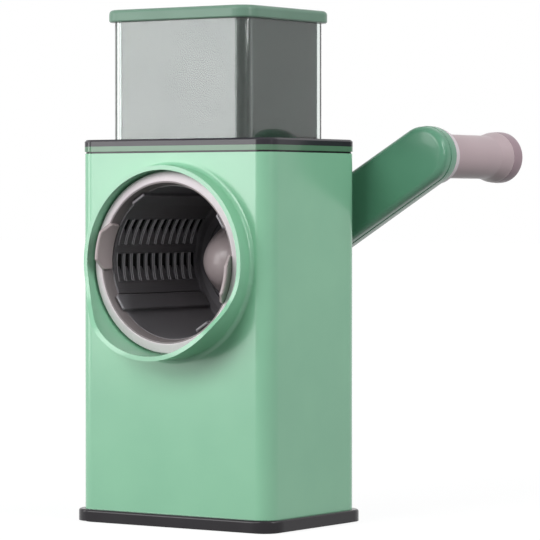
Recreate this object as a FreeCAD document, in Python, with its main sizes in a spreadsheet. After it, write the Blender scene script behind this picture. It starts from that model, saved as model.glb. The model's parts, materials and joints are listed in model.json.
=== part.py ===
import FreeCAD, Part
import math
import os
import Sketcher

# Rotary cabbage shredder: a housing with a drum lying in it, a clear hopper with a
# pusher on top, and a crank at the back.
# The origin is the middle of the underside. X runs along the front, Y from the front
# to the back, Z up. The drum, the shaft and the crank turn about one axis along Y.

# Driving dimensions in millimetres and degrees: name, value, meaning.
SIZES = [
    ("axis_height", 153.0, "drum axis above the table"),
    ("fit", 0.1, "gap all round a piece that sits in a recess"),
    ("slide", 0.05, "gap all round a turning or sliding fit"),
    # base
    ("base_width", 144.0, "base, side to side"),
    ("base_depth", 99.8, "base, front to back"),
    ("base_corner", 13.3, "base corner radius"),
    ("base_top", 7.7, "top of the base rim"),
    ("base_floor", 5.2, "floor of the recess that the housing stands in"),
    ("base_edge", 1.4, "rounding of the base rim"),
    ("pad_top", 2.0, "thickness of the non-slip pad"),
    ("pad_proud", 0.8, "how far the pad stands below the base"),
    ("pad_margin", 4.0, "base rim left round the pad"),
    ("screw_x", 59.8, "corner screw from the middle, sideways"),
    ("screw_y", 37.7, "corner screw from the middle, front to back"),
    ("screw_head", 3.0, "radius of a corner screw's head"),
    ("screw_head_top", 3.4, "height of a corner screw's head"),
    ("screw_core", 1.4, "radius of a corner screw's shank"),
    ("screw_top", 19.0, "height of a corner screw's tip"),
    ("post_radius", 5.4, "screw post in the housing"),
    ("post_top", 24.0, "top of a screw post"),
    # housing
    ("body_width", 136.2, "housing, side to side"),
    ("body_depth", 92.0, "housing, front to back"),
    ("body_corner", 9.4, "housing corner radius"),
    ("body_top", 216.2, "top of the housing wall"),
    ("wall", 2.6, "housing wall"),
    ("collar_radius", 56.0, "collar round the drum mouth, outside"),
    ("collar_bore", 53.4, "collar round the drum mouth, inside"),
    ("collar_flare", 2.4, "rounding where the collar meets the front"),
    ("collar_reach", 10.8, "how far the collar stands out at the top and sides"),
    ("lip_reach", 24.0, "how far the collar stands out at the bottom"),
    ("lip_start", 8.0, "where the lip starts to grow, below the axis"),
    ("lip_full", 53.0, "where the lip is full, below the axis"),
    ("mouth_radius", 48.2, "hole in the front wall behind the bezel"),
    ("boss_radius", 19.0, "bearing boss on the back wall"),
    ("boss_end", 54.4, "back end of the bearing boss"),
    ("boss_bevel", 1.4, "bevel of the bearing boss"),
    # chamber
    ("chamber_radius", 48.0, "chamber round the drum, inside"),
    ("chamber_wall", 2.4, "chamber wall"),
    ("chamber_back", 41.0, "inside of the chamber's back wall"),
    ("throat_top", 213.0, "top of the throat under the hopper"),
    # bearing bush
    ("bush_radius", 9.0, "bearing bush, outside"),
    ("bush_flange", 12.0, "bush flange radius"),
    ("bush_front", 39.8, "front face of the bush flange"),
    ("bush_end", 54.9, "back end of the bush"),
    # top trim
    ("seal_top", 217.3, "top of the dark seal"),
    ("seal_inset", 0.6, "how far the seal stands back"),
    ("band_top", 220.3, "top of the green band"),
    ("trim_proud", 0.3, "how far the band and cover stand out"),
    ("cover_top", 224.3, "top of the dark cover"),
    ("cover_bevel", 1.1, "bevel of the cover's edge"),
    ("socket_wall", 1.8, "wall of the hopper socket in the cover"),
    ("socket_floor", 216.0, "ledge that the hopper stands on"),
    # hopper and pusher
    ("hopper_width", 97.7, "hopper, side to side"),
    ("hopper_depth", 82.7, "hopper, front to back"),
    ("hopper_corner", 8.2, "hopper corner radius"),
    ("hopper_wall", 3.0, "hopper wall"),
    ("hopper_top", 292.9, "top of the hopper"),
    ("cap_overhang", 3.4, "how far the pusher's cap stands out round the hopper"),
    ("cap_top", 300.0, "top of the pusher's cap"),
    ("cap_round", 2.4, "rounding of the cap's top edge"),
    ("cap_under_bevel", 0.7, "bevel of the cap's lower edge"),
    ("cap_recess", 2.6, "depth of the recess under the cap"),
    ("plunger_gap", 0.6, "gap between the plunger and the hopper"),
    ("plunger_wall", 2.2, "plunger wall"),
    ("plunger_face", 202.6, "underside of the plunger between its ribs"),
    ("plunger_rib", 1.6, "height of a rib under the plunger"),
    ("plunger_rib_width", 3.4, "width of a rib under the plunger"),
    ("plunger_rib_pitch", 11.0, "distance between the plunger's ribs"),
    # drum
    ("drum_turn", 12.0, "how far the drum is turned clockwise, seen from the front"),
    ("bezel_front", -50.1, "front face of the bezel"),
    ("bezel_back", -47.1, "back face of the bezel"),
    ("bezel_outer", 52.3, "bezel, outside radius"),
    ("bezel_inner", 46.7, "bezel, inside radius"),
    ("bezel_bevel", 0.6, "bevel of the bezel's edges"),
    ("mouth_front_radius", 46.0, "inside of the mouth sleeve at its front"),
    ("mouth_back", -45.0, "back end of the mouth sleeve"),
    ("mouth_back_radius", 45.0, "inside of the mouth sleeve at its back"),
    ("rim_radius", 47.5, "guide rim behind the bezel"),
    ("rim_back", -42.6, "back face of the guide rim"),
    ("shell_outer", 45.6, "drum wall, outside radius"),
    ("shell_inner", 44.2, "drum wall, inside radius"),
    ("disc_front", 37.0, "inner face of the drum's back disc"),
    ("disc_back", 38.8, "outer face of the drum's back disc"),
    ("disc_step", 1.4, "height of the raised rings on the back disc"),
    ("disc_step_outer", 38.5, "radius of the wide raised ring"),
    ("disc_step_inner", 34.0, "radius of the narrow raised ring"),
    ("disc_hole", 8.4, "hole for the shaft"),
    ("rib_inner", 42.4, "inner face of a drum rib"),
    ("rib_width", 10.0, "width of a drum rib"),
    ("rib_front", -46.6, "front end of a drum rib"),
    ("plain_wall", 80.0, "angle of the plain wall between two ribs"),
    # finger tabs
    ("tab_front", -59.9, "front edge of a finger tab"),
    ("tab_back", -45.3, "root of a finger tab"),
    ("tab_front_inner", 44.8, "inner radius of a tab at its front"),
    ("tab_front_outer", 47.4, "outer radius of a tab at its front"),
    ("tab_back_inner", 42.6, "inner radius of a tab at its root"),
    ("tab_angle", 33.0, "angle that a tab spans"),
    ("tab_corner_x", 4.6, "corner cut off a tab, across"),
    ("tab_corner_y", 3.6, "corner cut off a tab, along"),
    # blade strips
    ("panel_angle", 76.0, "angle that two blade strips span together"),
    ("panel_front", -44.7, "front edge of a blade strip"),
    ("panel_rim", 1.5, "width of a strip's rolled front edge"),
    ("panel_rim_height", 0.7, "height of a strip's rolled front edge"),
    ("slot_count", 11, "slots in a row"),
    ("slot_pitch", 7.2, "distance between slots"),
    ("slot_first", -37.5, "middle of the first slot"),
    ("slot_width", 4.9, "width of a slot"),
    ("slot_length", 16.0, "length of a slot round the drum"),
    ("slot_row", 13.9, "angle from the seam of two strips to a row of slots"),
    ("blade_width", 4.3, "width of a cutting tongue"),
    ("blade_reach", 8.6, "length of a cutting tongue"),
    ("blade_rise", 1.5, "how far a tongue's edge stands out of the drum"),
    ("blade_thick", 0.7, "thickness of a cutting tongue"),
    # hub cone
    ("nose_tip", -2.8, "front of the hub cone"),
    ("nose_flat", 1.5, "small flat at the tip of the nose"),
    ("nose_radius", 16.6, "rounding of the cone's nose"),
    ("nose_end", 5.6, "where the nose runs into the flank"),
    ("nose_end_radius", 15.0, "radius where the nose runs into the flank"),
    ("flank_radius", 90.0, "curvature of the cone's flank"),
    ("cone_back_radius", 28.0, "radius of the cone at its back"),
    ("cone_wall", 2.4, "wall of the hub cone"),
    ("cone_foot_radius", 30.2, "foot flange of the cone"),
    ("cone_foot", 1.6, "thickness of the foot flange"),
    ("hub_tube_radius", 10.4, "tube round the hexagon socket"),
    ("hub_tube_front", 11.5, "front end of the hexagon socket"),
    ("hub_core_radius", 7.4, "hollow core of the nose"),
    ("hub_core_front", 3.5, "front end of the hollow core"),
    ("hub_screw_circle", 18.6, "circle of the hub screws"),
    ("hub_screw_head", 2.8, "radius of a hub screw's head"),
    ("hub_screw_head_back", 40.0, "back of a hub screw's head"),
    ("hub_screw_core", 1.3, "radius of a hub screw's shank"),
    ("hub_screw_front", 27.0, "tip of a hub screw"),
    ("hub_post_radius", 3.4, "post round a hub screw"),
    ("hub_post_front", 22.0, "front end of a hub screw post"),
    # shaft
    ("hex_flats", 12.0, "shaft hexagon across its flats"),
    ("hex_front", 13.0, "front end of the hexagon"),
    ("hex_back", 39.5, "shoulder of the hexagon"),
    ("journal_radius", 6.0, "shaft in the bush"),
    ("journal_end", 55.2, "back end of the journal"),
    ("key_flats", 9.0, "rear hexagon of the shaft across its flats"),
    ("key_end", 65.6, "back end of the rear hexagon"),
    ("tapped_radius", 2.1, "tapped hole in the shaft's end"),
    ("tapped_front", 47.0, "bottom of the tapped hole"),
    # crank
    ("arm_angle", 30.9, "crank arm above level"),
    ("arm_length", 120.6, "from the drum axis to the grip axis"),
    ("arm_radius", 18.8, "rounded ends of the crank arm"),
    ("arm_front", 56.6, "front face of the crank arm"),
    ("arm_seam", 64.5, "parting face of the two arm shells"),
    ("arm_back", 71.0, "back face of the crank arm"),
    ("arm_front_round", 4.2, "rounding of the arm's front edge"),
    ("arm_back_bevel", 0.8, "bevel of the arm's back edge"),
    ("arm_seam_step", 0.5, "how far the front shell stands back at the seam"),
    ("arm_wall", 2.4, "wall of the arm shells"),
    ("hub_radius", 15.0, "hub face of the crank"),
    ("hub_front", 55.4, "front of the crank's hub"),
    ("arm_post_radius", 9.0, "posts round the shaft and the spindle"),
    ("cap_seat_radius", 7.6, "recess for the hub cap"),
    ("cap_seat", 68.6, "bottom of the recess for the hub cap"),
    ("hub_cap_back", 72.2, "top of the hub cap"),
    ("hub_cap_face", 5.4, "flat middle of the hub cap"),
    ("crank_screw_core", 2.0, "radius of the crank screw's shank"),
    ("crank_screw_head", 4.4, "radius of the crank screw's head"),
    ("crank_screw_back", 68.4, "back of the crank screw's head"),
    # grip
    ("spindle_radius", 4.0, "grip spindle"),
    ("spindle_front", 59.4, "front end of the spindle in the arm"),
    ("spindle_back", 136.0, "where the spindle's head starts"),
    ("spindle_head_radius", 6.0, "head that holds the grip on"),
    ("spindle_head_back", 138.0, "back of the spindle's head"),
    ("flange_radius", 19.2, "disc at the foot of the grip"),
    ("flange_front", 71.3, "front face of the disc"),
    ("flange_back", 73.4, "back face of the disc"),
    ("flange_bevel", 0.6, "bevel of the disc"),
    ("grip_radius", 12.7, "grip"),
    ("grip_flare_start", 126.0, "where the grip starts to swell"),
    ("grip_flare_end", 141.0, "where the grip is widest"),
    ("grip_end_radius", 15.0, "widest radius of the grip"),
    ("grip_end", 142.0, "back end of the grip sleeve"),
    ("grip_pocket_radius", 7.0, "pocket for the spindle's head"),
    ("grip_pocket", 135.7, "bottom of the pocket for the spindle's head"),
    ("grip_cap_end", 151.5, "back end of the grip"),
    ("grip_cap_radius", 14.5, "grip end cap"),
    ("grip_cap_face", 9.0, "flat middle of the grip end cap"),
    ("grip_plug_front", 138.6, "front end of the cap's plug"),
]

Vector = FreeCAD.Vector
ORIGIN_POINT = (-1, 1)
Y_AXIS = Vector(0, 1, 0)
Z_AXIS = Vector(0, 0, 1)
START, END = 1, 2


class Size:
    """A number that keeps the sheet expression it was worked out from."""

    def __init__(self, text, value):
        self.text = text
        self.value = value

    def __add__(self, other):
        other = as_size(other)
        return Size(f"({self.text} + {other.text})", self.value + other.value)

    def __sub__(self, other):
        other = as_size(other)
        return Size(f"({self.text} - {other.text})", self.value - other.value)

    def __mul__(self, other):
        other = as_size(other)
        return Size(f"({self.text} * {other.text})", self.value * other.value)

    def __truediv__(self, other):
        other = as_size(other)
        return Size(f"({self.text} / {other.text})", self.value / other.value)

    def __neg__(self):
        return Size(f"(-1 * {self.text})", -self.value)

    def __radd__(self, other):
        return as_size(other) + self

    def __rsub__(self, other):
        return as_size(other) - self

    def __rmul__(self, other):
        return as_size(other) * self


def as_size(item):
    """Take a plain number as a Size."""
    return item if isinstance(item, Size) else Size(f"({item})", float(item))


def cosine(angle):
    """Cosine of an angle in degrees."""
    angle = as_size(angle)
    return Size(f"cos({angle.text})", math.cos(math.radians(angle.value)))


def sine(angle):
    """Sine of an angle in degrees."""
    angle = as_size(angle)
    return Size(f"sin({angle.text})", math.sin(math.radians(angle.value)))


doc = FreeCAD.newDocument("CabbageShredder")
sheet = doc.addObject("Spreadsheet::Sheet", "Sizes")
for row, (alias, number, meaning) in enumerate(SIZES, start=1):
    sheet.set(f"A{row}", meaning)
    sheet.set(f"B{row}", str(number))
    sheet.setAlias(f"B{row}", alias)
doc.recompute()
NUMBERS = {alias: number for alias, number, meaning in SIZES}
sub_parts = []


def size(alias):
    """One driving dimension from the sheet."""
    return Size(f"Sizes.{alias}", NUMBERS[alias])


def bind(item, path, amount):
    """Bind one property to the sheet."""
    item.setExpression(path, as_size(amount).text)


# Outlines. A loop is a Round, or a list of corners (x, y) or (x, y, bend), where bend is the
# radius of the arc to the next corner: above zero it turns left, below zero it turns right.


class Round:
    """A circle in a sketch."""

    def __init__(self, radius, x=0, y=0):
        self.radius = as_size(radius)
        self.x = x
        self.y = y


def rounded_box(width, depth, corner):
    """An upright rectangle with round corners about the sketch's origin."""
    half_x = as_size(width) / 2
    half_y = as_size(depth) / 2
    corner = as_size(corner)
    return [
        (half_x - corner, -half_y, corner),
        (half_x, corner - half_y),
        (half_x, half_y - corner, corner),
        (half_x - corner, half_y),
        (corner - half_x, half_y, corner),
        (-half_x, half_y - corner),
        (-half_x, corner - half_y, corner),
        (corner - half_x, -half_y),
    ]


def box(left, right, low, high):
    """A plain rectangle."""
    return [(left, low), (right, low), (right, high), (left, high)]


def stadium(length, radius):
    """The outline of the crank arm: two half circles, from the origin along the sketch's x."""
    radius = as_size(radius)
    return [
        (0, -radius),
        (length, -radius, radius),
        (length + radius, 0, radius),
        (length, radius),
        (0, radius, radius),
        (-radius, 0, radius),
    ]


def hexagon(flats):
    """A hexagon about the sketch's origin, two corners on its x axis."""
    reach = as_size(flats) / 2 / cosine(30)
    return [(reach * cosine(60 * side), reach * sine(60 * side)) for side in range(6)]


def four_corners(radius):
    """Four circles at the corner screws."""
    sides = ((1, 1), (-1, 1), (-1, -1), (1, -1))
    return [Round(radius, x * size("screw_x"), y * size("screw_y")) for x, y in sides]


def arc_between(start, finish, bend):
    """The shorter arc of radius bend from start to finish."""
    chord = finish - start
    reach = math.sqrt(max(bend ** 2 - (chord.Length / 2) ** 2, 0))
    left = Vector(-chord.y, chord.x, 0).normalize()
    centre = (start + finish) / 2 + left * math.copysign(reach, bend)
    first, last = (start, finish) if bend > 0 else (finish, start)
    angles = [math.atan2(end.y - centre.y, end.x - centre.x) for end in (first, last)]
    return Part.ArcOfCircle(Part.Circle(centre, Z_AXIS, abs(bend)), angles[0], angles[1])


def hold(sketch, kind, references, amount):
    """Add one sketch dimension and bind it to the sheet."""
    amount = as_size(amount)
    index = sketch.addConstraint(Sketcher.Constraint(kind, *references, amount.value))
    bind(sketch, f"Constraints[{index}]", amount)


def hold_point(sketch, edge, end, x, y):
    """Hold the end of an edge at x, y from the sketch's origin."""
    hold(sketch, "DistanceX", (*ORIGIN_POINT, edge, end), x)
    hold(sketch, "DistanceY", (*ORIGIN_POINT, edge, end), y)


def draw_loop(sketch, loop):
    """Draw a closed loop whose every size is bound to the sheet."""
    if isinstance(loop, Round):
        middle = Vector(as_size(loop.x).value, as_size(loop.y).value, 0)
        edge = sketch.addGeometry(Part.Circle(middle, Z_AXIS, loop.radius.value), False)
        hold_point(sketch, edge, 3, loop.x, loop.y)
        hold(sketch, "Radius", (edge,), loop.radius)
        return
    edges = []
    for place, corner in enumerate(loop):
        following = loop[(place + 1) % len(loop)]
        start = Vector(as_size(corner[0]).value, as_size(corner[1]).value, 0)
        finish = Vector(as_size(following[0]).value, as_size(following[1]).value, 0)
        bend = as_size(corner[2]) if len(corner) > 2 else None
        if bend is None:
            shape = Part.LineSegment(start, finish)
            ends = (START, END)
        else:
            shape = arc_between(start, finish, bend.value)
            ends = (START, END) if bend.value > 0 else (END, START)
        edges.append((sketch.addGeometry(shape, False), ends, bend))
    for place, corner in enumerate(loop):
        edge, ends, bend = edges[place]
        before, ends_before, bend_before = edges[place - 1]
        sketch.addConstraint(Sketcher.Constraint("Coincident", before, ends_before[1], edge, ends[0]))
        hold_point(sketch, edge, ends[0], corner[0], corner[1])
        if bend is not None:
            radius = bend if bend.value > 0 else -bend
            hold(sketch, "Radius", (edge,), radius)


# Features


def new_part(label, height=0, turn=0):
    """A body with its own label, raised by height and turned clockwise seen from the front."""
    body = doc.addObject("PartDesign::Body", label)
    body.Label = label
    body.AllowCompound = True
    turn = as_size(turn)
    body.Placement = FreeCAD.Placement(Vector(0, 0, 0), FreeCAD.Rotation(Y_AXIS, turn.value))
    bind(body, "Placement.Base.z", height)
    if turn.value:
        bind(body, "Placement.Rotation.Angle", turn)
    sub_parts.append(body)
    return body


def origin_item(body, role):
    """An origin plane or axis of a body."""
    return next(item for item in body.Origin.OriginFeatures if item.Role == role)


def new_sketch(body, plane, offset, loops, turn=0):
    """A sketch on one of the body's own origin planes, turned about the plane's normal."""
    sketch = body.newObject("Sketcher::SketchObject", body.Label + "_outline")
    sketch.AttachmentSupport = [(origin_item(body, plane), "")]
    sketch.MapMode = "FlatFace"
    turn = as_size(turn)
    sketch.AttachmentOffset = FreeCAD.Placement(Vector(0, 0, 0), FreeCAD.Rotation(Z_AXIS, turn.value))
    bind(sketch, "AttachmentOffset.Base.z", offset)
    if turn.value > 0:
        bind(sketch, "AttachmentOffset.Rotation.Angle", turn)
    for loop in loops:
        draw_loop(sketch, loop)
    return sketch


def pad(body, plane, start, end, loops, turn=0):
    """Add the outline between two places on the axis square to the plane."""
    offset = -as_size(end) if plane == "XZ_Plane" else start
    feature = body.newObject("PartDesign::Pad", body.Label + "_pad")
    feature.Profile = new_sketch(body, plane, offset, loops, turn)
    bind(feature, "Length", end - as_size(start))
    return finish_feature(body, feature)


def pocket(body, plane, start, end, loops, turn=0):
    """Cut the outline between two places on the axis square to the plane."""
    offset = -as_size(start) if plane == "XZ_Plane" else end
    feature = body.newObject("PartDesign::Pocket", body.Label + "_pocket")
    feature.Profile = new_sketch(body, plane, offset, loops, turn)
    bind(feature, "Length", end - as_size(start))
    return finish_feature(body, feature)


def turned(body, loop, kind="PartDesign::Revolution", angle=360):
    """Turn a half profile (along the axis, radius) about the body's Y axis."""
    feature = body.newObject(kind, body.Label + "_turned")
    sketch = new_sketch(body, "YZ_Plane", 0, [loop])
    feature.Profile = sketch
    feature.ReferenceAxis = (sketch, ["H_Axis"])
    angle = as_size(angle)
    feature.Midplane = angle.value < 360
    bind(feature, "Angle", angle)
    return finish_feature(body, feature)


def finish_feature(body, feature):
    """Make a feature the body's tip and work it out."""
    body.Tip = feature
    doc.recompute()
    return feature


def around(body, feature, count):
    """Repeat a feature evenly about the body's Y axis."""
    pattern = body.newObject("PartDesign::PolarPattern", body.Label + "_around")
    pattern.Originals = [feature]
    pattern.Axis = (origin_item(body, "Y_Axis"), [""])
    pattern.Angle = 360
    pattern.Occurrences = count
    return finish_feature(body, pattern)


def along(body, feature, count, length):
    """Repeat a feature along the body's Y axis over a length."""
    pattern = body.newObject("PartDesign::LinearPattern", body.Label + "_along")
    pattern.Originals = [feature]
    pattern.Direction = (origin_item(body, "Y_Axis"), [""])
    bind(pattern, "Length", length)
    bind(pattern, "Occurrences", count)
    return finish_feature(body, pattern)


def dress_edges(body, kind, path, amount, wanted):
    """Put a fillet or a chamfer on the edges of the body's tip that wanted() picks."""
    base = body.Tip
    names = [f"Edge{place}" for place, edge in enumerate(base.Shape.Edges, start=1) if wanted(edge)]
    if not names:
        raise RuntimeError(f"{body.Label}: no edge to dress")
    feature = body.newObject(kind, body.Label + "_edge")
    feature.Base = (base, names)
    bind(feature, path, amount)
    return finish_feature(body, feature)


def round_edges(body, radius, wanted):
    """Round the edges that wanted() picks."""
    return dress_edges(body, "PartDesign::Fillet", "Radius", radius, wanted)


def bevel_edges(body, amount, wanted):
    """Bevel the edges that wanted() picks."""
    return dress_edges(body, "PartDesign::Chamfer", "Size", amount, wanted)


TOUCH = 1e-4


def level_with(axis, place):
    """Pick edges that lie wholly at one place along an axis of the body (x, y or z)."""
    place = as_size(place).value

    def wanted(edge):
        low = getattr(edge.BoundBox, axis + "Min")
        high = getattr(edge.BoundBox, axis + "Max")
        return abs(low - place) < TOUCH and abs(high - place) < TOUCH

    return wanted


def level_circle(place, radius):
    """Pick circles of one radius about any axis along Y, at one place along it."""
    at_place = level_with("Y", place)
    radius = as_size(radius).value

    def wanted(edge):
        return at_place(edge) and isinstance(edge.Curve, Part.Circle) \
            and abs(edge.Curve.Radius - radius) < TOUCH

    return wanted


# Base


def make_base_trim():
    """The dark foot rim: a tray that takes the housing above and the pad below."""
    body = new_part("base_trim")
    width, depth, corner = size("base_width"), size("base_depth"), size("base_corner")
    pad(body, "XY_Plane", size("pad_proud"), size("base_top"), [rounded_box(width, depth, corner)])
    round_edges(body, size("base_edge"), level_with("Z", size("base_top")))
    recess = rounded_box(
        size("body_width") + 2 * size("fit"),
        size("body_depth") + 2 * size("fit"),
        size("body_corner") + size("fit"))
    pocket(body, "XY_Plane", size("base_floor"), size("base_top"), [recess])
    margin = size("pad_margin")
    under = rounded_box(width - 2 * margin, depth - 2 * margin, corner - margin)
    pocket(body, "XY_Plane", size("pad_proud"), size("pad_top"), [under])
    head = size("screw_head") + size("fit")
    pocket(body, "XY_Plane", size("pad_top"), size("screw_head_top"), four_corners(head))
    core = size("screw_core") + size("fit")
    pocket(body, "XY_Plane", size("pad_top"), size("base_floor"), four_corners(core))


def make_nonslip_pad():
    """The rubber pad that the shredder stands on."""
    body = new_part("nonslip_pad")
    margin = size("pad_margin") + size("fit")
    outline = rounded_box(
        size("base_width") - 2 * margin,
        size("base_depth") - 2 * margin,
        size("base_corner") - margin)
    pad(body, "XY_Plane", 0, size("pad_top"), [outline])


def make_base_screws():
    """Four screws that hold the base to the housing."""
    body = new_part("base_screws")
    pad(body, "XY_Plane", size("pad_top"), size("screw_head_top"), four_corners(size("screw_head")))
    pad(body, "XY_Plane", size("screw_head_top"), size("screw_top"), four_corners(size("screw_core")))


# Housing


def lip_cut():
    """The space in front of the collar, seen from the side: it leaves a long lip below."""
    front = -size("body_depth") / 2
    near = front - size("collar_reach")
    far = front - size("lip_reach")
    low = size("axis_height") - size("lip_full")
    high = size("axis_height") - size("lip_start")
    half_run = (near - far) / 2
    half_rise = (high - low) / 2
    bend = (half_run * half_run + half_rise * half_rise) / (2 * half_run)
    ahead = far - size("wall")
    above = size("axis_height") + size("collar_radius") + size("wall")
    return [
        (ahead, low),
        (far, low, -bend),
        (far + half_run, low + half_rise, bend),
        (near, high),
        (near, above),
        (ahead, above),
    ]


def make_housing():
    """The moulded sleeve with the collar round the drum mouth and the bearing boss."""
    body = new_part("housing")
    width, depth, corner = size("body_width"), size("body_depth"), size("body_corner")
    wall, axis = size("wall"), size("axis_height")
    front, back = -depth / 2, depth / 2
    bottom, top = size("base_floor"), size("body_top")
    pad(body, "XY_Plane", bottom, top, [rounded_box(width, depth, corner)])
    collar = Round(size("collar_radius"), 0, axis)
    pad(body, "XZ_Plane", front - size("lip_reach"), front, [collar])
    round_edges(body, size("collar_flare"), level_circle(front, size("collar_radius")))
    boss = Round(size("boss_radius"), 0, axis)
    pad(body, "XZ_Plane", back, size("boss_end"), [boss])
    bevel_edges(body, size("boss_bevel"), level_circle(size("boss_end"), size("boss_radius")))
    hollow = rounded_box(width - 2 * wall, depth - 2 * wall, corner - wall)
    pocket(body, "XY_Plane", bottom, top, [hollow])
    pocket(body, "XZ_Plane", front - size("lip_reach"), front, [Round(size("collar_bore"), 0, axis)])
    pocket(body, "XZ_Plane", front, front + wall, [Round(size("mouth_radius"), 0, axis)])
    pocket(body, "YZ_Plane", -size("collar_radius") - wall, size("collar_radius") + wall, [lip_cut()])
    bore = Round(size("bush_radius") + size("slide"), 0, axis)
    pocket(body, "XZ_Plane", back - wall, size("boss_end"), [bore])
    pad(body, "XY_Plane", bottom, size("post_top"), four_corners(size("post_radius")))
    pilot = size("screw_core") + size("slide")
    pocket(body, "XY_Plane", bottom, size("screw_top") + wall, four_corners(pilot))


def make_drum_chamber():
    """The inner wall round the drum, open to the hopper above and to the collar in front."""
    body = new_part("drum_chamber", height=size("axis_height"))
    wall = size("chamber_wall")
    inside = size("chamber_radius")
    reach = size("body_depth") / 2 - size("wall") - size("slide")
    back = size("chamber_back")
    half = size("hopper_width") / 2 - size("hopper_wall")
    top = size("throat_top") - size("axis_height")
    pad(body, "XZ_Plane", -reach, reach, [Round(inside + wall)])
    pad(body, "XZ_Plane", -reach, reach, [box(-half - wall, half + wall, 0, top)])
    pocket(body, "XZ_Plane", -reach, back, [Round(inside)])
    pocket(body, "XZ_Plane", -back, back, [box(-half, half, 0, top)])
    pocket(body, "XZ_Plane", back, reach, [Round(size("bush_radius") + size("slide"))])


def make_shaft_bush():
    """The flanged bearing bush in the back wall."""
    body = new_part("shaft_bush", height=size("axis_height"))
    inside = size("journal_radius") + size("slide")
    front, back = size("bush_front"), size("chamber_back")
    turned(body, [
        (front, inside),
        (size("bush_end"), inside),
        (size("bush_end"), size("bush_radius")),
        (back, size("bush_radius")),
        (back, size("bush_flange")),
        (front, size("bush_flange")),
    ])


# Top trim, hopper and pusher


def body_outline(proud):
    """The housing's outline, moved out by proud."""
    return rounded_box(
        size("body_width") + 2 * proud,
        size("body_depth") + 2 * proud,
        size("body_corner") + proud)


def make_trim_ring(label, low, high, proud):
    """A ring of the top trim, as thick as the housing wall."""
    body = new_part(label)
    pad(body, "XY_Plane", low, high, [body_outline(proud), body_outline(-size("wall"))])


def make_top_cover():
    """The dark cover with the socket that the hopper stands in."""
    body = new_part("top_cover")
    pad(body, "XY_Plane", size("band_top"), size("cover_top"), [body_outline(size("trim_proud"))])
    bevel_edges(body, size("cover_bevel"), level_with("Z", size("cover_top")))
    width, depth, corner = size("hopper_width"), size("hopper_depth"), size("hopper_corner")
    wall = size("socket_wall")
    inner_depth = size("body_depth") - 2 * size("wall") - 2 * size("fit")
    socket = rounded_box(width + 2 * wall, inner_depth, corner)
    pad(body, "XY_Plane", size("throat_top"), size("band_top"), [socket])
    gap = size("fit")
    seat = rounded_box(width + 2 * gap, depth + 2 * gap, corner + gap)
    pocket(body, "XY_Plane", size("socket_floor"), size("cover_top"), [seat])
    inset = size("hopper_wall")
    throat = rounded_box(width - 2 * inset, depth - 2 * inset, corner - inset)
    pocket(body, "XY_Plane", size("throat_top"), size("socket_floor"), [throat])


def make_hopper():
    """The clear walls of the hopper."""
    body = new_part("hopper")
    width, depth, corner = size("hopper_width"), size("hopper_depth"), size("hopper_corner")
    inset = size("hopper_wall")
    outside = rounded_box(width, depth, corner)
    inside = rounded_box(width - 2 * inset, depth - 2 * inset, corner - inset)
    pad(body, "XY_Plane", size("socket_floor"), size("hopper_top"), [outside, inside])


def plunger_outline(inset):
    """The plunger's outline, moved in by inset."""
    inset = size("hopper_wall") + size("plunger_gap") + inset
    return rounded_box(
        size("hopper_width") - 2 * inset,
        size("hopper_depth") - 2 * inset,
        size("hopper_corner") - inset)


def make_pusher_cap():
    """The cap of the pusher, which rests on the hopper's rim."""
    body = new_part("pusher_cap")
    proud = size("cap_overhang")
    outline = rounded_box(
        size("hopper_width") + 2 * proud,
        size("hopper_depth") + 2 * proud,
        size("hopper_corner") + proud)
    low, high = size("hopper_top"), size("cap_top")
    pad(body, "XY_Plane", low, high, [outline])
    round_edges(body, size("cap_round"), level_with("Z", high))
    bevel_edges(body, size("cap_under_bevel"), level_with("Z", low))
    pocket(body, "XY_Plane", low, low + size("cap_recess"), [plunger_outline(-size("fit"))])


def make_plunger():
    """The hollow plunger that presses the food on the drum, ribbed underneath."""
    body = new_part("pusher_plunger")
    face, top = size("plunger_face"), size("hopper_top") + size("cap_recess")
    wall = size("plunger_wall")
    pad(body, "XY_Plane", face, top, [plunger_outline(0)])
    pocket(body, "XY_Plane", face + wall, top, [plunger_outline(wall)])
    half_width, pitch = size("plunger_rib_width") / 2, size("plunger_rib_pitch")
    reach = size("hopper_depth") / 2 - size("hopper_corner")
    ribs = [
        box(place * pitch - half_width, place * pitch + half_width, -reach, reach)
        for place in (-3, -2, -1, 0, 1, 2, 3)
    ]
    pad(body, "XY_Plane", face - size("plunger_rib"), face, ribs)


# Drum


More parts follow.
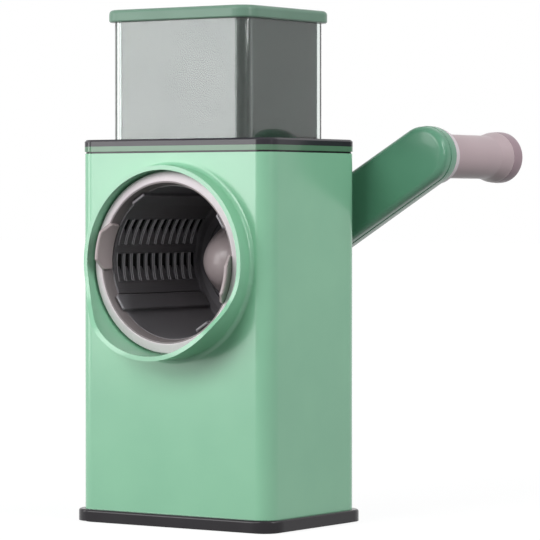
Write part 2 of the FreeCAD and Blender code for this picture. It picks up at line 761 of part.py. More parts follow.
def make_drum_frame():
    """The drum's carrier: mouth sleeve, guide rim, plain walls, ribs and back disc."""
    body = new_part("drum_frame", height=size("axis_height"), turn=size("drum_turn"))
    gap = size("slide")
    sleeve_front = size("bezel_front") + gap
    bezel_back = size("bezel_back") + gap
    sleeve_outer = size("bezel_inner") - gap
    turned(body, [
        (sleeve_front, size("mouth_front_radius")),
        (size("mouth_back"), size("mouth_back_radius")),
        (size("mouth_back"), size("shell_outer") + gap),
        (size("rim_back"), size("shell_outer") + gap),
        (size("rim_back"), size("rim_radius")),
        (bezel_back, size("rim_radius")),
        (bezel_back, sleeve_outer),
        (sleeve_front, sleeve_outer),
    ])
    rib_half = size("rib_width") / 2
    rib = pad(body, "XZ_Plane", size("rib_front"), size("disc_back"), [
        box(-rib_half, rib_half, size("rib_inner"), size("shell_outer") + gap),
    ], turn=45)
    around(body, rib, 4)
    step = size("disc_step")
    turned(body, [
        (size("disc_back"), size("disc_hole")),
        (size("disc_back"), size("shell_outer")),
        (size("disc_front"), size("shell_outer")),
        (size("disc_front"), size("rib_inner")),
        (size("disc_front") - step, size("disc_step_outer")),
        (size("disc_front") - step, size("disc_step_inner")),
        (size("disc_front"), size("disc_step_inner")),
        (size("disc_front"), size("disc_hole")),
    ])
    plain = turned(body, [
        (size("mouth_back") + gap, size("shell_inner")),
        (size("disc_back"), size("shell_inner")),
        (size("disc_back"), size("shell_outer") + gap),
        (size("mouth_back") + gap, size("shell_outer") + gap),
    ], angle=size("plain_wall"))
    around(body, plain, 2)
    screw = pocket(body, "XZ_Plane", size("disc_front"), size("disc_back"), [
        Round(size("hub_screw_core") + gap, 0, size("hub_screw_circle")),
    ])
    around(body, screw, 3)


def make_drum_bezel():
    """The pale ring round the drum's mouth."""
    body = new_part("drum_bezel", height=size("axis_height"), turn=size("drum_turn"))
    front, back = size("bezel_front"), size("bezel_back")
    turned(body, box(front, back, size("bezel_inner"), size("bezel_outer")))
    bevel_edges(body, size("bezel_bevel"), level_with("Y", front))


def make_finger_tab(number, turn):
    """One of the two tabs by which the drum is turned and drawn out."""
    body = new_part(f"finger_tab_{number}", height=size("axis_height"), turn=size("drum_turn") + turn)
    sleeve_front = size("bezel_front") + size("slide")
    slope = (size("mouth_front_radius") - size("mouth_back_radius")) / (size("mouth_back") - sleeve_front)
    root_outer = size("mouth_back_radius") + slope * (size("mouth_back") - size("tab_back"))
    turned(body, [
        (size("tab_front"), size("tab_front_inner")),
        (size("tab_back"), size("tab_back_inner")),
        (size("tab_back"), root_outer),
        (sleeve_front, size("mouth_front_radius")),
        (size("tab_front"), size("tab_front_outer")),
    ], angle=size("tab_angle"))
    half = size("tab_front_outer") * sine(size("tab_angle") / 2)
    front, back = size("tab_front"), size("tab_front") + size("tab_corner_y")
    ahead = front - size("wall")
    for side in (1, -1):
        inner = side * (half - size("tab_corner_x"))
        outer = side * (half + size("wall"))
        edge = side * half
        pocket(body, "XY_Plane", 0, size("bezel_outer"), [
            [(inner, ahead), (outer, ahead), (outer, back), (edge, back), (inner, front)],
        ])


def make_blade_strip(number, turn, side):
    """Half of a slotted steel wall: one row of slots, each with a raised cutting tongue."""
    quarter = size("panel_angle") / 4
    strip_turn = size("drum_turn") + turn + side * quarter
    body = new_part(f"blade_strip_{number}", height=size("axis_height"), turn=strip_turn)
    front, back = size("panel_front"), size("disc_front") - size("slide")
    inner, outer = size("shell_inner"), size("shell_outer")
    rim = inner - size("panel_rim_height")
    turned(body, [
        (front, rim),
        (front + size("panel_rim"), rim),
        (front + size("panel_rim"), inner),
        (back, inner),
        (back, outer),
        (front, outer),
    ], angle=size("panel_angle") / 2)
    half_length = size("slot_length") / 2
    slot_front = size("slot_first") - size("slot_width") / 2
    blade_front = size("slot_first") - size("blade_width") / 2
    row_length = (size("slot_count") - 1) * size("slot_pitch")
    row_turn = quarter - size("slot_row")
    if side < 0:
        row_turn = 360 - row_turn
    slot = pocket(body, "XZ_Plane", slot_front, slot_front + size("slot_width"), [
        box(-half_length, half_length, inner - size("wall"), outer + size("wall")),
    ], turn=row_turn)
    along(body, slot, size("slot_count"), row_length)
    flat = outer * cosine(size("slot_row") / 2)
    thick = size("blade_thick")
    root, tip = half_length + thick, half_length - size("blade_reach")
    edge_height = outer + size("blade_rise")
    tongue = pad(body, "XZ_Plane", blade_front, blade_front + size("blade_width"), [
        [(root, flat - 2 * thick), (root, flat), (tip, edge_height), (tip, edge_height - thick)],
    ], turn=row_turn)
    along(body, tongue, size("slot_count"), row_length)


def make_hub_cone():
    """The hollow cone in the drum, with the hexagon socket that the shaft drives."""
    body = new_part("hub_cone", height=size("axis_height"), turn=size("drum_turn"))
    back = size("disc_front") - size("slide")
    foot = back - size("cone_foot")
    turned(body, [
        (size("nose_tip"), 0),
        (size("nose_tip"), size("nose_flat"), -size("nose_radius")),
        (size("nose_end"), size("nose_end_radius"), -size("flank_radius")),
        (foot, size("cone_back_radius")),
        (foot, size("cone_foot_radius")),
        (back, size("cone_foot_radius")),
        (back, 0),
    ])
    wall = size("cone_wall")
    tube, tube_front = size("hub_tube_radius"), size("hub_tube_front")
    turned(body, [
        (tube_front, tube),
        (back, tube),
        (back, size("cone_back_radius") - wall),
        (tube_front, size("nose_end_radius") + wall / 2),
    ], kind="PartDesign::Groove")
    post_front = size("hub_post_front")
    post = pad(body, "XZ_Plane", post_front, back, [
        Round(size("hub_post_radius"), 0, size("hub_screw_circle")),
    ])
    around(body, post, 3)
    hole_radius = size("hub_screw_core") + size("slide")
    hole = pocket(body, "XZ_Plane", size("hub_screw_front"), back, [
        Round(hole_radius, 0, size("hub_screw_circle")),
    ])
    around(body, hole, 3)
    pocket(body, "XZ_Plane", tube_front, back, [hexagon(size("hex_flats") + 2 * size("fit"))])
    pocket(body, "XZ_Plane", size("hub_core_front"), tube_front, [Round(size("hub_core_radius"))])


# Shaft and crank


def make_drive_shaft():
    """The steel shaft: a long hexagon for the drum, a journal and a short hexagon for the crank."""
    body = new_part("drive_shaft", height=size("axis_height"), turn=size("drum_turn"))
    shoulder, neck, tail = size("hex_back"), size("journal_end"), size("key_end")
    pad(body, "XZ_Plane", size("hex_front"), shoulder, [hexagon(size("hex_flats"))])
    pad(body, "XZ_Plane", shoulder, neck, [Round(size("journal_radius"))])
    key_turn = size("drum_turn") + size("arm_angle")
    pad(body, "XZ_Plane", neck, tail, [hexagon(size("key_flats"))], turn=key_turn)
    pocket(body, "XZ_Plane", size("tapped_front"), tail, [Round(size("tapped_radius"))])


def arm_part(label):
    """A body in the crank's own frame: its x runs from the drum axis to the grip axis."""
    return new_part(label, height=size("axis_height"), turn=-size("arm_angle"))


def make_crank_front_shell():
    """The front half of the hollow crank arm, with its broad rounded edge and its hub."""
    body = arm_part("crank_front_shell")
    length, seam = size("arm_length"), size("arm_seam")
    radius = size("arm_radius") - size("arm_seam_step")
    front = size("arm_front")
    pad(body, "XZ_Plane", front, seam, [stadium(length, radius)])
    round_edges(body, size("arm_front_round"), level_with("Y", front))
    floor = front + size("arm_wall")
    pocket(body, "XZ_Plane", floor, seam, [stadium(length, radius - size("arm_wall"))])
    posts = [Round(size("arm_post_radius")), Round(size("arm_post_radius"), length)]
    pad(body, "XZ_Plane", floor, seam, posts)
    pad(body, "XZ_Plane", size("hub_front"), front, [Round(size("hub_radius"))])
    pocket(body, "XZ_Plane", size("hub_front"), seam, [hexagon(size("key_flats") + 2 * size("slide"))])
    spindle = Round(size("spindle_radius") + size("slide"), length)
    pocket(body, "XZ_Plane", floor, seam, [spindle])


def make_crank_back_shell():
    """The back half of the crank arm."""
    body = arm_part("crank_back_shell")
    length, seam, back = size("arm_length"), size("arm_seam"), size("arm_back")
    radius, wall = size("arm_radius"), size("arm_wall")
    pad(body, "XZ_Plane", seam, back, [stadium(length, radius)])
    bevel_edges(body, size("arm_back_bevel"), level_with("Y", back))
    pocket(body, "XZ_Plane", seam, back - wall, [stadium(length, radius - wall)])
    posts = [Round(size("arm_post_radius")), Round(size("arm_post_radius"), length)]
    pad(body, "XZ_Plane", seam, back - wall, posts)
    head_room = size("crank_screw_head") + size("fit")
    seat = size("key_end") + size("slide")
    pocket(body, "XZ_Plane", seam, seat, [hexagon(size("key_flats") + 2 * size("slide"))])
    pocket(body, "XZ_Plane", seat, size("cap_seat"), [Round(head_room)])
    pocket(body, "XZ_Plane", size("cap_seat"), back, [Round(size("cap_seat_radius"))])
    spindle = Round(size("spindle_radius") + size("slide"), length)
    pocket(body, "XZ_Plane", seam, back, [spindle])


def make_crank_screw():
    """The screw that draws the crank onto the shaft."""
    body = arm_part("crank_screw")
    seat = size("key_end") + size("slide")
    pad(body, "XZ_Plane", seat, size("crank_screw_back"), [Round(size("crank_screw_head"))])
    pad(body, "XZ_Plane", size("tapped_front") + size("wall"), seat, [Round(size("crank_screw_core"))])


def make_hub_cap():
    """The domed cap over the crank screw."""
    body = arm_part("hub_cap")
    seat, edge, top = size("cap_seat"), size("arm_back"), size("hub_cap_back")
    radius = size("cap_seat_radius") - size("slide")
    turned(body, [(seat, 0), (top, 0), (top, size("hub_cap_face")), (edge, radius), (seat, radius)])


def make_grip_spindle():
    """The steel pin that the grip turns on, with the head that holds the grip."""
    body = arm_part("grip_spindle")
    length = size("arm_length")
    pad(body, "XZ_Plane", size("spindle_front"), size("spindle_back"), [
        Round(size("spindle_radius"), length)])
    pad(body, "XZ_Plane", size("spindle_back"), size("spindle_head_back"), [
        Round(size("spindle_head_radius"), length)])


# Grip


def grip_part(label):
    """A body whose own Y axis is the grip axis."""
    body = new_part(label)
    bind(body, "Placement.Base.x", size("arm_length") * cosine(size("arm_angle")))
    bind(body, "Placement.Base.z", size("axis_height") + size("arm_length") * sine(size("arm_angle")))
    return body


def make_grip_flange():
    """The disc at the foot of the grip."""
    body = grip_part("grip_flange")
    bore = size("spindle_radius") + size("slide")
    front, back = size("flange_front"), size("flange_back")
    turned(body, box(front, back, bore, size("flange_radius")))
    bevel_edges(body, size("flange_bevel"), level_circle(back, size("flange_radius")))


def make_grip_sleeve():
    """The turning grip, which swells towards its end."""
    body = grip_part("grip_sleeve")
    bore = size("spindle_radius") + size("slide")
    slim, wide = size("grip_radius"), size("grip_end_radius")
    start, end = size("grip_flare_start"), size("grip_flare_end")
    run, rise = end - start, wide - slim
    bend = (run * run + rise * rise) / (2 * rise)
    turned(body, [
        (size("flange_back"), bore),
        (size("grip_pocket"), bore),
        (size("grip_pocket"), size("grip_pocket_radius")),
        (size("grip_end"), size("grip_pocket_radius")),
        (size("grip_end"), wide),
        (end, wide, -bend),
        (start, slim),
        (size("flange_back"), slim),
    ])


def make_grip_end_cap():
    """The rounded end cap of the grip, plugged into the sleeve."""
    body = grip_part("grip_end_cap")
    plug = size("grip_pocket_radius") - size("slide")
    edge, face = size("grip_cap_radius"), size("grip_cap_face")
    base, end = size("grip_end"), size("grip_cap_end")
    bend = edge - face
    turned(body, [
        (size("grip_plug_front"), 0),
        (end, 0),
        (end, face, -bend),
        (end - bend, edge),
        (base, edge),
        (base, plug),
        (size("grip_plug_front"), plug),
    ])


def make_hub_screws():
    """Three screws that hold the hub cone to the back disc."""
    body = new_part("hub_screws", height=size("axis_height"), turn=size("drum_turn"))
    circle = size("hub_screw_circle")
    places = [(circle * sine(120 * step), circle * cosine(120 * step)) for step in range(3)]
    heads = [Round(size("hub_screw_head"), x, y) for x, y in places]
    shanks = [Round(size("hub_screw_core"), x, y) for x, y in places]
    back = size("disc_back")
    pad(body, "XZ_Plane", back, size("hub_screw_head_back"), heads)
    pad(body, "XZ_Plane", size("hub_screw_front") + size("slide"), back, shanks)


def make_all():
    """Make every sub-part."""
    make_base_trim()
    make_nonslip_pad()
    make_base_screws()
    make_housing()
    make_drum_chamber()
    make_shaft_bush()
    make_trim_ring("top_seal", size("body_top"), size("seal_top"), -size("seal_inset"))
    make_trim_ring("trim_band", size("seal_top"), size("band_top"), size("trim_proud"))
    make_top_cover()
    make_hopper()
    make_pusher_cap()
    make_plunger()
    make_drum_frame()
    make_drum_bezel()
    for number, turn in ((1, -90), (2, 90)):
        make_finger_tab(number, turn)
        make_blade_strip(2 * number - 1, turn, 1)
        make_blade_strip(2 * number, turn, -1)
    make_hub_cone()
    make_hub_screws()
    make_drive_shaft()
    make_crank_front_shell()
    make_crank_back_shell()
    make_crank_screw()
    make_hub_cap()
    make_grip_spindle()
    make_grip_flange()
    make_grip_sleeve()
    make_grip_end_cap()


def check_all():
    """Stop if any object failed, any cut removed nothing, or any shape is not valid."""
    for item in doc.Objects:
        if "Invalid" in item.State or "Error" in item.State:
            raise RuntimeError(f"{item.Label} failed: {item.State}")
    for body in sub_parts:
        for feature in body.Group:
            cuts = feature.TypeId in ("PartDesign::Pocket", "PartDesign::Groove")
            if cuts and feature.Shape.Volume >= feature.BaseFeature.Shape.Volume:
                raise RuntimeError(f"{feature.Label} cut nothing")
        if body.Shape.isNull() or not body.Shape.isValid():
            raise RuntimeError(f"{body.Label} has no valid shape")


make_all()
doc.recompute()
check_all()
os.makedirs("parts", exist_ok=True)
for part in sub_parts:
    part.Shape.exportStep(f"parts/{part.Label}.step")
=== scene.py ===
import json
import math
import bmesh
import bpy
from mathutils import Matrix, Vector


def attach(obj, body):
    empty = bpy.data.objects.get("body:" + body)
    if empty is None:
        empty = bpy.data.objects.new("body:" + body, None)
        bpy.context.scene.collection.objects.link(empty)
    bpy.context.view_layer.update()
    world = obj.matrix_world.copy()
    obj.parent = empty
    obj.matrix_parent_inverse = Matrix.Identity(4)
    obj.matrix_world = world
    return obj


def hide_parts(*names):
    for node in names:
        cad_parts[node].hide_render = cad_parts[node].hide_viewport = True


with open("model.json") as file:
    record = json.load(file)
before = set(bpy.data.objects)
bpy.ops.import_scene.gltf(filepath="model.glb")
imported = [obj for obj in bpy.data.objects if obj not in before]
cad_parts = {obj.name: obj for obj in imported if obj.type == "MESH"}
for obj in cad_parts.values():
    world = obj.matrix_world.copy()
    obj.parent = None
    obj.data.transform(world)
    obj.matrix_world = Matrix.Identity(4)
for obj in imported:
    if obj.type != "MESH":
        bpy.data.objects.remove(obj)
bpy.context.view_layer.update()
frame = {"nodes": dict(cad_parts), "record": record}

# Rotary cabbage shredder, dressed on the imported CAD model. Lengths are in metres,
# X along the front, Y to the back, Z up, as in the model.

scene = bpy.context.scene
scene.view_settings.view_transform = "Standard"
nodes_of = frame["nodes"]


# Camera

CAMERA_PLACE = Vector((1.0853215, -1.5073057, 0.184894))
CAMERA_BACK = Vector((0.5709158, -0.8207675, 0.0198954)).normalized()
CAMERA_RIGHT = Vector((0.82093, 0.571029, 0.0)).normalized()
FOCAL_PIXELS = 3159.95
PHOTO_PIXELS = 540
SENSOR_WIDTH = 36.0


def make_camera():
    """The photograph's viewpoint, solved from the object's corners."""
    data = bpy.data.cameras.new("Camera")
    data.sensor_width = SENSOR_WIDTH
    data.lens = FOCAL_PIXELS / PHOTO_PIXELS * SENSOR_WIDTH
    data.clip_start = 0.05
    data.clip_end = 50.0
    camera = bpy.data.objects.new("Camera", data)
    scene.collection.objects.link(camera)
    up = CAMERA_BACK.cross(CAMERA_RIGHT)
    turn = Matrix((CAMERA_RIGHT, up, CAMERA_BACK)).transposed()
    camera.matrix_world = Matrix.Translation(CAMERA_PLACE) @ turn.to_4x4()
    scene.camera = camera


# Materials


def rgb(red, green, blue):
    """An sRGB colour, 0 to 255, as Blender's linear colour."""
    def line(part):
        part = part / 255
        return part / 12.92 if part <= 0.04045 else ((part + 0.055) / 1.055) ** 2.4
    return (line(red), line(green), line(blue), 1.0)


class Finish:
    """A node material under one Principled shader."""

    def __init__(self, name, **sockets):
        self.data = bpy.data.materials.new(name)
        self.data.use_nodes = True
        self.nodes = self.data.node_tree.nodes
        self.links = self.data.node_tree.links
        self.shader = self.nodes["Principled BSDF"]
        self.place = self.nodes.new("ShaderNodeTexCoord").outputs["Object"]
        for socket, value in sockets.items():
            self.shader.inputs[socket.replace("_", " ")].default_value = value

    def node(self, kind, inputs=None, **settings):
        item = self.nodes.new(kind)
        for key, value in settings.items():
            setattr(item, key, value)
        for key, value in (inputs or {}).items():
            if isinstance(value, bpy.types.NodeSocket):
                self.links.new(value, item.inputs[key])
            else:
                item.inputs[key].default_value = value
        return item

    def stretched(self, x=1.0, y=1.0, z=1.0):
        """The object's own coordinates, scaled along each axis."""
        item = self.node("ShaderNodeMapping", {"Vector": self.place})
        item.inputs["Scale"].default_value = (x, y, z)
        return item.outputs["Vector"]

    def noise(self, scale, detail=2.0, vector=None, roughness=0.5):
        item = self.node("ShaderNodeTexNoise", {
            "Vector": vector or self.place, "Scale": scale, "Detail": detail, "Roughness": roughness})
        return item.outputs["Fac"]

    def ramp(self, factor, low, high, start=0.35, end=0.65):
        """Two colours blended by a factor."""
        item = self.node("ShaderNodeValToRGB", {"Fac": factor})
        item.color_ramp.elements[0].position = start
        item.color_ramp.elements[0].color = low
        item.color_ramp.elements[1].position = end
        item.color_ramp.elements[1].color = high
        return item.outputs["Color"]

    def spread(self, factor, low, high):
        """A factor moved to the range low to high."""
        item = self.node("ShaderNodeMapRange", {
            "Value": factor, "From Min": 0.3, "From Max": 0.7, "To Min": low, "To Max": high})
        return item.outputs["Result"]

    def colour(self, socket):
        self.links.new(socket, self.shader.inputs["Base Color"])

    def rough(self, socket):
        self.links.new(socket, self.shader.inputs["Roughness"])

    def bump(self, height, strength, distance):
        item = self.node("ShaderNodeBump", {
            "Height": height, "Strength": strength, "Distance": distance})
        self.links.new(item.outputs["Normal"], self.shader.inputs["Normal"])


def moulded(name, dark, light, rough, grain=420.0, depth=0.000006, **sockets):
    """Moulded plastic: slow colour drift, uneven gloss and a fine surface grain."""
    finish = Finish(name, **sockets)
    finish.colour(finish.ramp(finish.noise(18.0, 3.0), dark, light))
    finish.rough(finish.spread(finish.noise(60.0, 2.0), rough * 0.92, rough * 1.08))
    finish.bump(finish.noise(grain, 0.0), 0.1, depth)
    return name, finish.data


def brushed(name, dark, light, rough, along, metal):
    """Metal, or dull metal, with fine lines along one axis."""
    finish = Finish(name, Metallic=metal)
    fine, slow = 2500.0, 60.0
    lines = finish.noise(1.0, 3.0, finish.stretched(*(slow if axis == along else fine for axis in "xyz")))
    finish.colour(finish.ramp(lines, dark, light, 0.3, 0.7))
    finish.rough(finish.spread(lines, rough * 0.8, rough * 1.25))
    finish.bump(lines, 0.15, 0.00001)
    return name, finish.data


def clear_wall(name):
    """Clear, slightly smoky plastic with faint flow marks."""
    finish = Finish(name, Transmission_Weight=1.0, IOR=1.42)
    finish.colour(finish.ramp(finish.noise(14.0, 2.0), (0.80, 0.86, 0.84, 1), (0.86, 0.91, 0.89, 1)))
    finish.rough(finish.spread(finish.noise(60.0, 3.0), 0.015, 0.05))
    finish.bump(finish.noise(30.0, 1.0), 0.05, 0.0002)
    return name, finish.data


def make_materials():
    """One material for each slot, and three for parts of the grip and the drum's mouth."""
    return dict((
        moulded(
            "mint_plastic", rgb(132, 190, 156), rgb(137, 195, 160), 0.20, Specular_IOR_Level=0.5),
        moulded(
            "pearl_mint", rgb(104, 136, 118), rgb(112, 144, 126), 0.30, Specular_IOR_Level=0.2),
        moulded(
            "green_band", rgb(84, 124, 96), rgb(92, 132, 104), 0.12, Specular_IOR_Level=0.4),
        moulded(
            "crank_green", rgb(92, 148, 119), rgb(98, 155, 126), 0.24, Specular_IOR_Level=0.3,
            Coat_Weight=0.15, Coat_Roughness=0.08),
        moulded(
            "dark_trim", rgb(34, 31, 35), rgb(40, 37, 41), 0.20, Specular_IOR_Level=0.25),
        moulded(
            "cover_trim", rgb(40, 37, 44), rgb(47, 44, 51), 0.16, Specular_IOR_Level=0.28),
        moulded(
            "drum_dark", rgb(116, 113, 117), rgb(124, 121, 125), 0.34, Specular_IOR_Level=0.4),
        moulded(
            "mauve_grey", rgb(164, 151, 152), rgb(173, 160, 161), 0.30, Specular_IOR_Level=0.4),
        moulded(
            "grip_mauve", rgb(186, 167, 171), rgb(194, 175, 179), 0.30, Specular_IOR_Level=0.12),
        moulded(
            "grip_cap_mauve", rgb(158, 136, 144), rgb(166, 144, 152), 0.30, Specular_IOR_Level=0.12),
        moulded(
            "mouth_liner", rgb(126, 118, 119), rgb(134, 126, 127), 0.40, Specular_IOR_Level=0.3),
        moulded(
            "mauve_pale", rgb(214, 203, 208), rgb(221, 210, 215), 0.28, Specular_IOR_Level=0.3),
        clear_wall("clear_smoke"),
        # The plunger's finish is painted nearly black green. This is painted shade for the hopper's shaded
        # inside; the plunger's own colour is a paler grey.
        moulded(
            "frosted_grey", rgb(18, 30, 23), rgb(23, 36, 28), 0.35, Specular_IOR_Level=0.3),
        brushed(
            "blade_steel", rgb(126, 123, 127), rgb(140, 137, 141), 0.42, "y", 0.25),
        brushed("shaft_steel", rgb(175, 175, 178), rgb(205, 205, 208), 0.25, "x", 1.0),
        moulded("bush_plastic", rgb(214, 211, 200), rgb(222, 219, 208), 0.45),
        moulded(
            "pad_rubber", rgb(34, 34, 34), rgb(44, 44, 44), 0.8, grain=1500.0, depth=0.00008),
    ))


def dress_nodes(materials):
    """Give every CAD node the finish of its slot."""
    for part in frame["record"]["subparts"]:
        item = nodes_of[part["node"]]
        finish = materials[part["material_slot"]]
        for place in range(len(item.material_slots)):
            item.material_slots[place].material = finish
        if not item.material_slots:
            item.data.materials.append(finish)


# Shapes. Sizes here are in millimetres; a turn is in degrees, clockwise from the top as seen
# from the front.

MM = 0.001
AXIS_HEIGHT = 153.0

# The drum as the photo shows it is turned by about 12 degrees. Its slots lie in two rows.
TAB_TURN, WALL_TURN, RIB_TURN = 12.0, 12.6, 12.3
SLOTS, SLOT_PITCH, FIRST_SLOT = 11, 7.2, -37.5
SLOT_HALF_WIDTH, EDGE_CREST, EDGE_FOOT = 2.45, 2.8, 3.15
SLOT_ROWS = (-17.0, 11.0)
SLOT_HALF_TURN = math.degrees(8.0 / 45.0)
WALL_INNER, WALL_OUTER, WALL_HALF_TURN = 44.15, 45.35, 37.4
EDGE_HEIGHT, EDGE_TURN = 0.45, 0.45
RIM_DEPTH, RIM_HEIGHT = -43.6, 0.7

ARM_LENGTH, ARM_RADIUS, ARM_TAPER = 120.6, 18.4, 0.95
ARM_TURN = math.radians(30.9)
GRIP_CENTRE = (
    round(ARM_LENGTH * math.cos(ARM_TURN), 2), round(AXIS_HEIGHT + ARM_LENGTH * math.sin(ARM_TURN), 2))


def ring_point(radius, turn, y, centre=(0.0, AXIS_HEIGHT)):
    """A point on a circle round an axis that runs to the back."""
    turn = math.radians(turn)
    return (centre[0] + radius * math.sin(turn), y, centre[1] + radius * math.cos(turn))


def rounded(corners):
    """A closed outline from corners (x, y) or (x, y, radius), with its corners rounded."""
    outline = []
    for place, corner in enumerate(corners):
        here = Vector(corner[:2])
        radius = corner[2] if len(corner) > 2 else 0
        if not radius:
            outline.append(tuple(here))
            continue
        before = (Vector(corners[place - 1][:2]) - here).normalized()
        after = (Vector(corners[(place + 1) % len(corners)][:2]) - here).normalized()
        half = before.angle(after) / 2
        middle = here + (before + after).normalized() * (radius / math.sin(half))
        first = here + before * (radius / math.tan(half)) - middle
        last = here + after * (radius / math.tan(half)) - middle
        sweep = first.angle(last)
        steps = max(3, round(math.degrees(sweep) / 12))
        for step in range(steps + 1):
            share = step / steps
            along = (first * math.sin((1 - share) * sweep) + last * math.sin(share * sweep)) / math.sin(sweep)
            outline.append(tuple(middle + along))
    return outline


def add_piece(name, points, faces, body, finish, replaced=(), sharp=38.0):
    """A new piece from points in millimetres, smooth apart from its sharp edges."""
    mesh = bpy.data.meshes.new(name)
    mesh.from_pydata([tuple(MM * part for part in point) for point in points], [], faces)
    shape = bmesh.new()
    shape.from_mesh(mesh)
    bmesh.ops.remove_doubles(shape, verts=shape.verts, dist=0.000002)
    bmesh.ops.recalc_face_normals(shape, faces=shape.faces)
    shape.to_mesh(mesh)
    shape.free()
    mesh.polygons.foreach_set("use_smooth", [True] * len(mesh.polygons))
    mesh.set_sharp_from_angle(angle=math.radians(sharp))
    mesh.materials.append(finish)
    piece = bpy.data.objects.new(name, mesh)
    scene.collection.objects.link(piece)
    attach(piece, body)
    if replaced:
        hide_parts(*replaced)
    return piece


def lathed(profile, centre=(0.0, AXIS_HEIGHT), steps=144, bored=True):
    """Points and faces of an outline (y, radius) turned round an axis, with a bore or closed ends."""
    count = len(profile)
    points = [
        ring_point(radius, 360 * step / steps, y, centre)
        for step in range(steps) for y, radius in profile]
    faces = []
    for step in range(steps):
        here, ahead = step * count, (step + 1) % steps * count
        for place in range(count if bored else count - 1):
            beside = (place + 1) % count
            faces.append((here + place, here + beside, ahead + beside, ahead + place))
    if not bored:
        for end in (0, count - 1):
            faces.append(tuple(step * count + end for step in range(steps)))
    return points, faces


def make_bezel(finishes):
    """The pale ring, whose front leans back outwards, and the dark liner of the mouth."""
    points, faces = lathed(rounded([
        (-51.9, 46.65, 0.5), (-47.1, 46.65), (-47.1, 52.3, 0.4), (-50.3, 52.3, 0.8)]))
    add_piece(
        "bezel_ring", points, faces, "drum", finishes["mauve_pale"], ["drum_bezel"])
    points, faces = lathed(rounded([
        (-51.5, 45.9, 0.3), (-43.6, 44.1, 0.3), (-43.6, 45.0), (-45.0, 46.3), (-51.5, 46.66)]))
    add_piece("mouth_liner", points, faces, "drum", finishes["mouth_liner"])


def tab_width(y):
    """Half the width of a finger tab at a depth: its two front corners are cut off."""
    front, full, half, cut = -57.8, -52.4, 14.37, 6.0
    return half - cut * min(1.0, max(0.0, (full - y) / (full - front)))


def soften_edges(piece, width):
    """Round the sharp edges of a piece."""
    soften = piece.modifiers.new("edges", "BEVEL")
    soften.width = width
    soften.segments = 3
    soften.angle_limit = math.radians(50)


def make_tab(name, turn, replaced, finish):
    """A curved finger tab that leans in towards its root."""
    rows = [-57.8, -56.8, -55.8, -54.6, -53.5, -52.4, -50.4, -48.4, -46.4]
    columns, outer = 18, 47.4
    points = []
    for front, root in ((45.3, 42.6), (outer, 45.4)):
        for y in rows:
            share = (y - rows[0]) / (rows[-1] - rows[0])
            radius = front + (root - front) * share
            reach = math.degrees(math.asin(tab_width(y) / outer))
            for column in range(columns + 1):
                points.append(ring_point(radius, turn + reach * (2 * column / columns - 1), y))
    side = len(rows) * (columns + 1)
    faces = []
    for row in range(len(rows) - 1):
        for column in range(columns):
            corner = row * (columns + 1) + column
            quad = (corner, corner + 1, corner + columns + 2, corner + columns + 1)
            faces += [quad, tuple(place + side for place in quad)]
        for edge in (row * (columns + 1), row * (columns + 1) + columns):
            faces.append((edge, edge + columns + 1, edge + columns + 1 + side, edge + side))
    for edge in (0, (len(rows) - 1) * (columns + 1)):
        for column in range(columns):
            corner = edge + column
            faces.append((corner, corner + 1, corner + 1 + side, corner + side))
    piece = add_piece(name, points, faces, "drum", finish, [replaced])
    soften_edges(piece, 0.0006)


def make_ribs(finish):
    """The four ribs inside the drum, with rounded front ends."""
    half, low, high = 5.1, 42.2, 45.0
    turns = [RIB_TURN + turn for turn in (-44.3, 44.3, 135.7, 224.3)]
    outline = rounded([(-48.6, -half, 1.6), (-48.6, half, 1.6), (36.6, half), (36.6, -half)])
    count = len(outline)
    for number, turn in enumerate(turns, start=1):
        points = []
        for radius in (low, high):
            for y, x in outline:
                lean = max(0.0, -46.6 - y) * 0.55
                at_edge = radius - lean if radius == high else radius
                points.append(ring_point(at_edge, turn + math.degrees(x / at_edge), y))
        faces = [tuple(range(count)), tuple(range(count, 2 * count))]
        for place in range(count):
            beside = (place + 1) % count
            faces.append((place, beside, beside + count, place + count))
        piece = add_piece(f"drum_rib_{number}", points, faces, "drum", finish)
        soften_edges(piece, 0.0007)


def slot_middle(place):
    """The depth of a slot's middle."""
    return FIRST_SLOT + SLOT_PITCH * place


def from_slot(depth):
    """How far a depth lies from the middle of the nearest slot."""
    return min(abs(depth - slot_middle(place)) for place in range(SLOTS))


def wall_depths():
    """Depths at which a blade wall changes: its rim, then a foot, crest and edge beside each slot."""
    depths = [-44.7, -43.9, -43.5]
    for place in range(SLOTS):
        for shift in (-EDGE_FOOT, -EDGE_CREST, -SLOT_HALF_WIDTH, SLOT_HALF_WIDTH, EDGE_CREST, EDGE_FOOT):
            depths.append(slot_middle(place) + shift)
    return depths + [36.9]


def wall_turns():
    """Turns at which a blade wall changes, with the round of each row of slots in 8 steps."""
    turns = [-WALL_HALF_TURN]
    for row in SLOT_ROWS:
        low, high = row - SLOT_HALF_TURN, row + SLOT_HALF_TURN
        turns += [low - 2 * EDGE_TURN, low - EDGE_TURN, low]
        turns += [low + (high - low) * step / 8 for step in range(1, 8)]
        turns += [high, high + EDGE_TURN, high + 2 * EDGE_TURN]
    return turns + [24.0, 28.0, 32.0, WALL_HALF_TURN]


def wall_rise(depth, angle):
    """How far the inner face stands in: at the front rim and along each slot's edge."""
    if depth < RIM_DEPTH:
        return RIM_HEIGHT
    away = from_slot(depth)
    for row in SLOT_ROWS:
        within = SLOT_HALF_TURN + 0.5 >= abs(angle - row)
        beside = abs(away - EDGE_CREST) < 0.01
        ending = abs(abs(angle - row) - SLOT_HALF_TURN - EDGE_TURN) < 0.01
        if (within and beside) or (ending and away < EDGE_CREST + 0.1):
            return EDGE_HEIGHT
    return 0.0


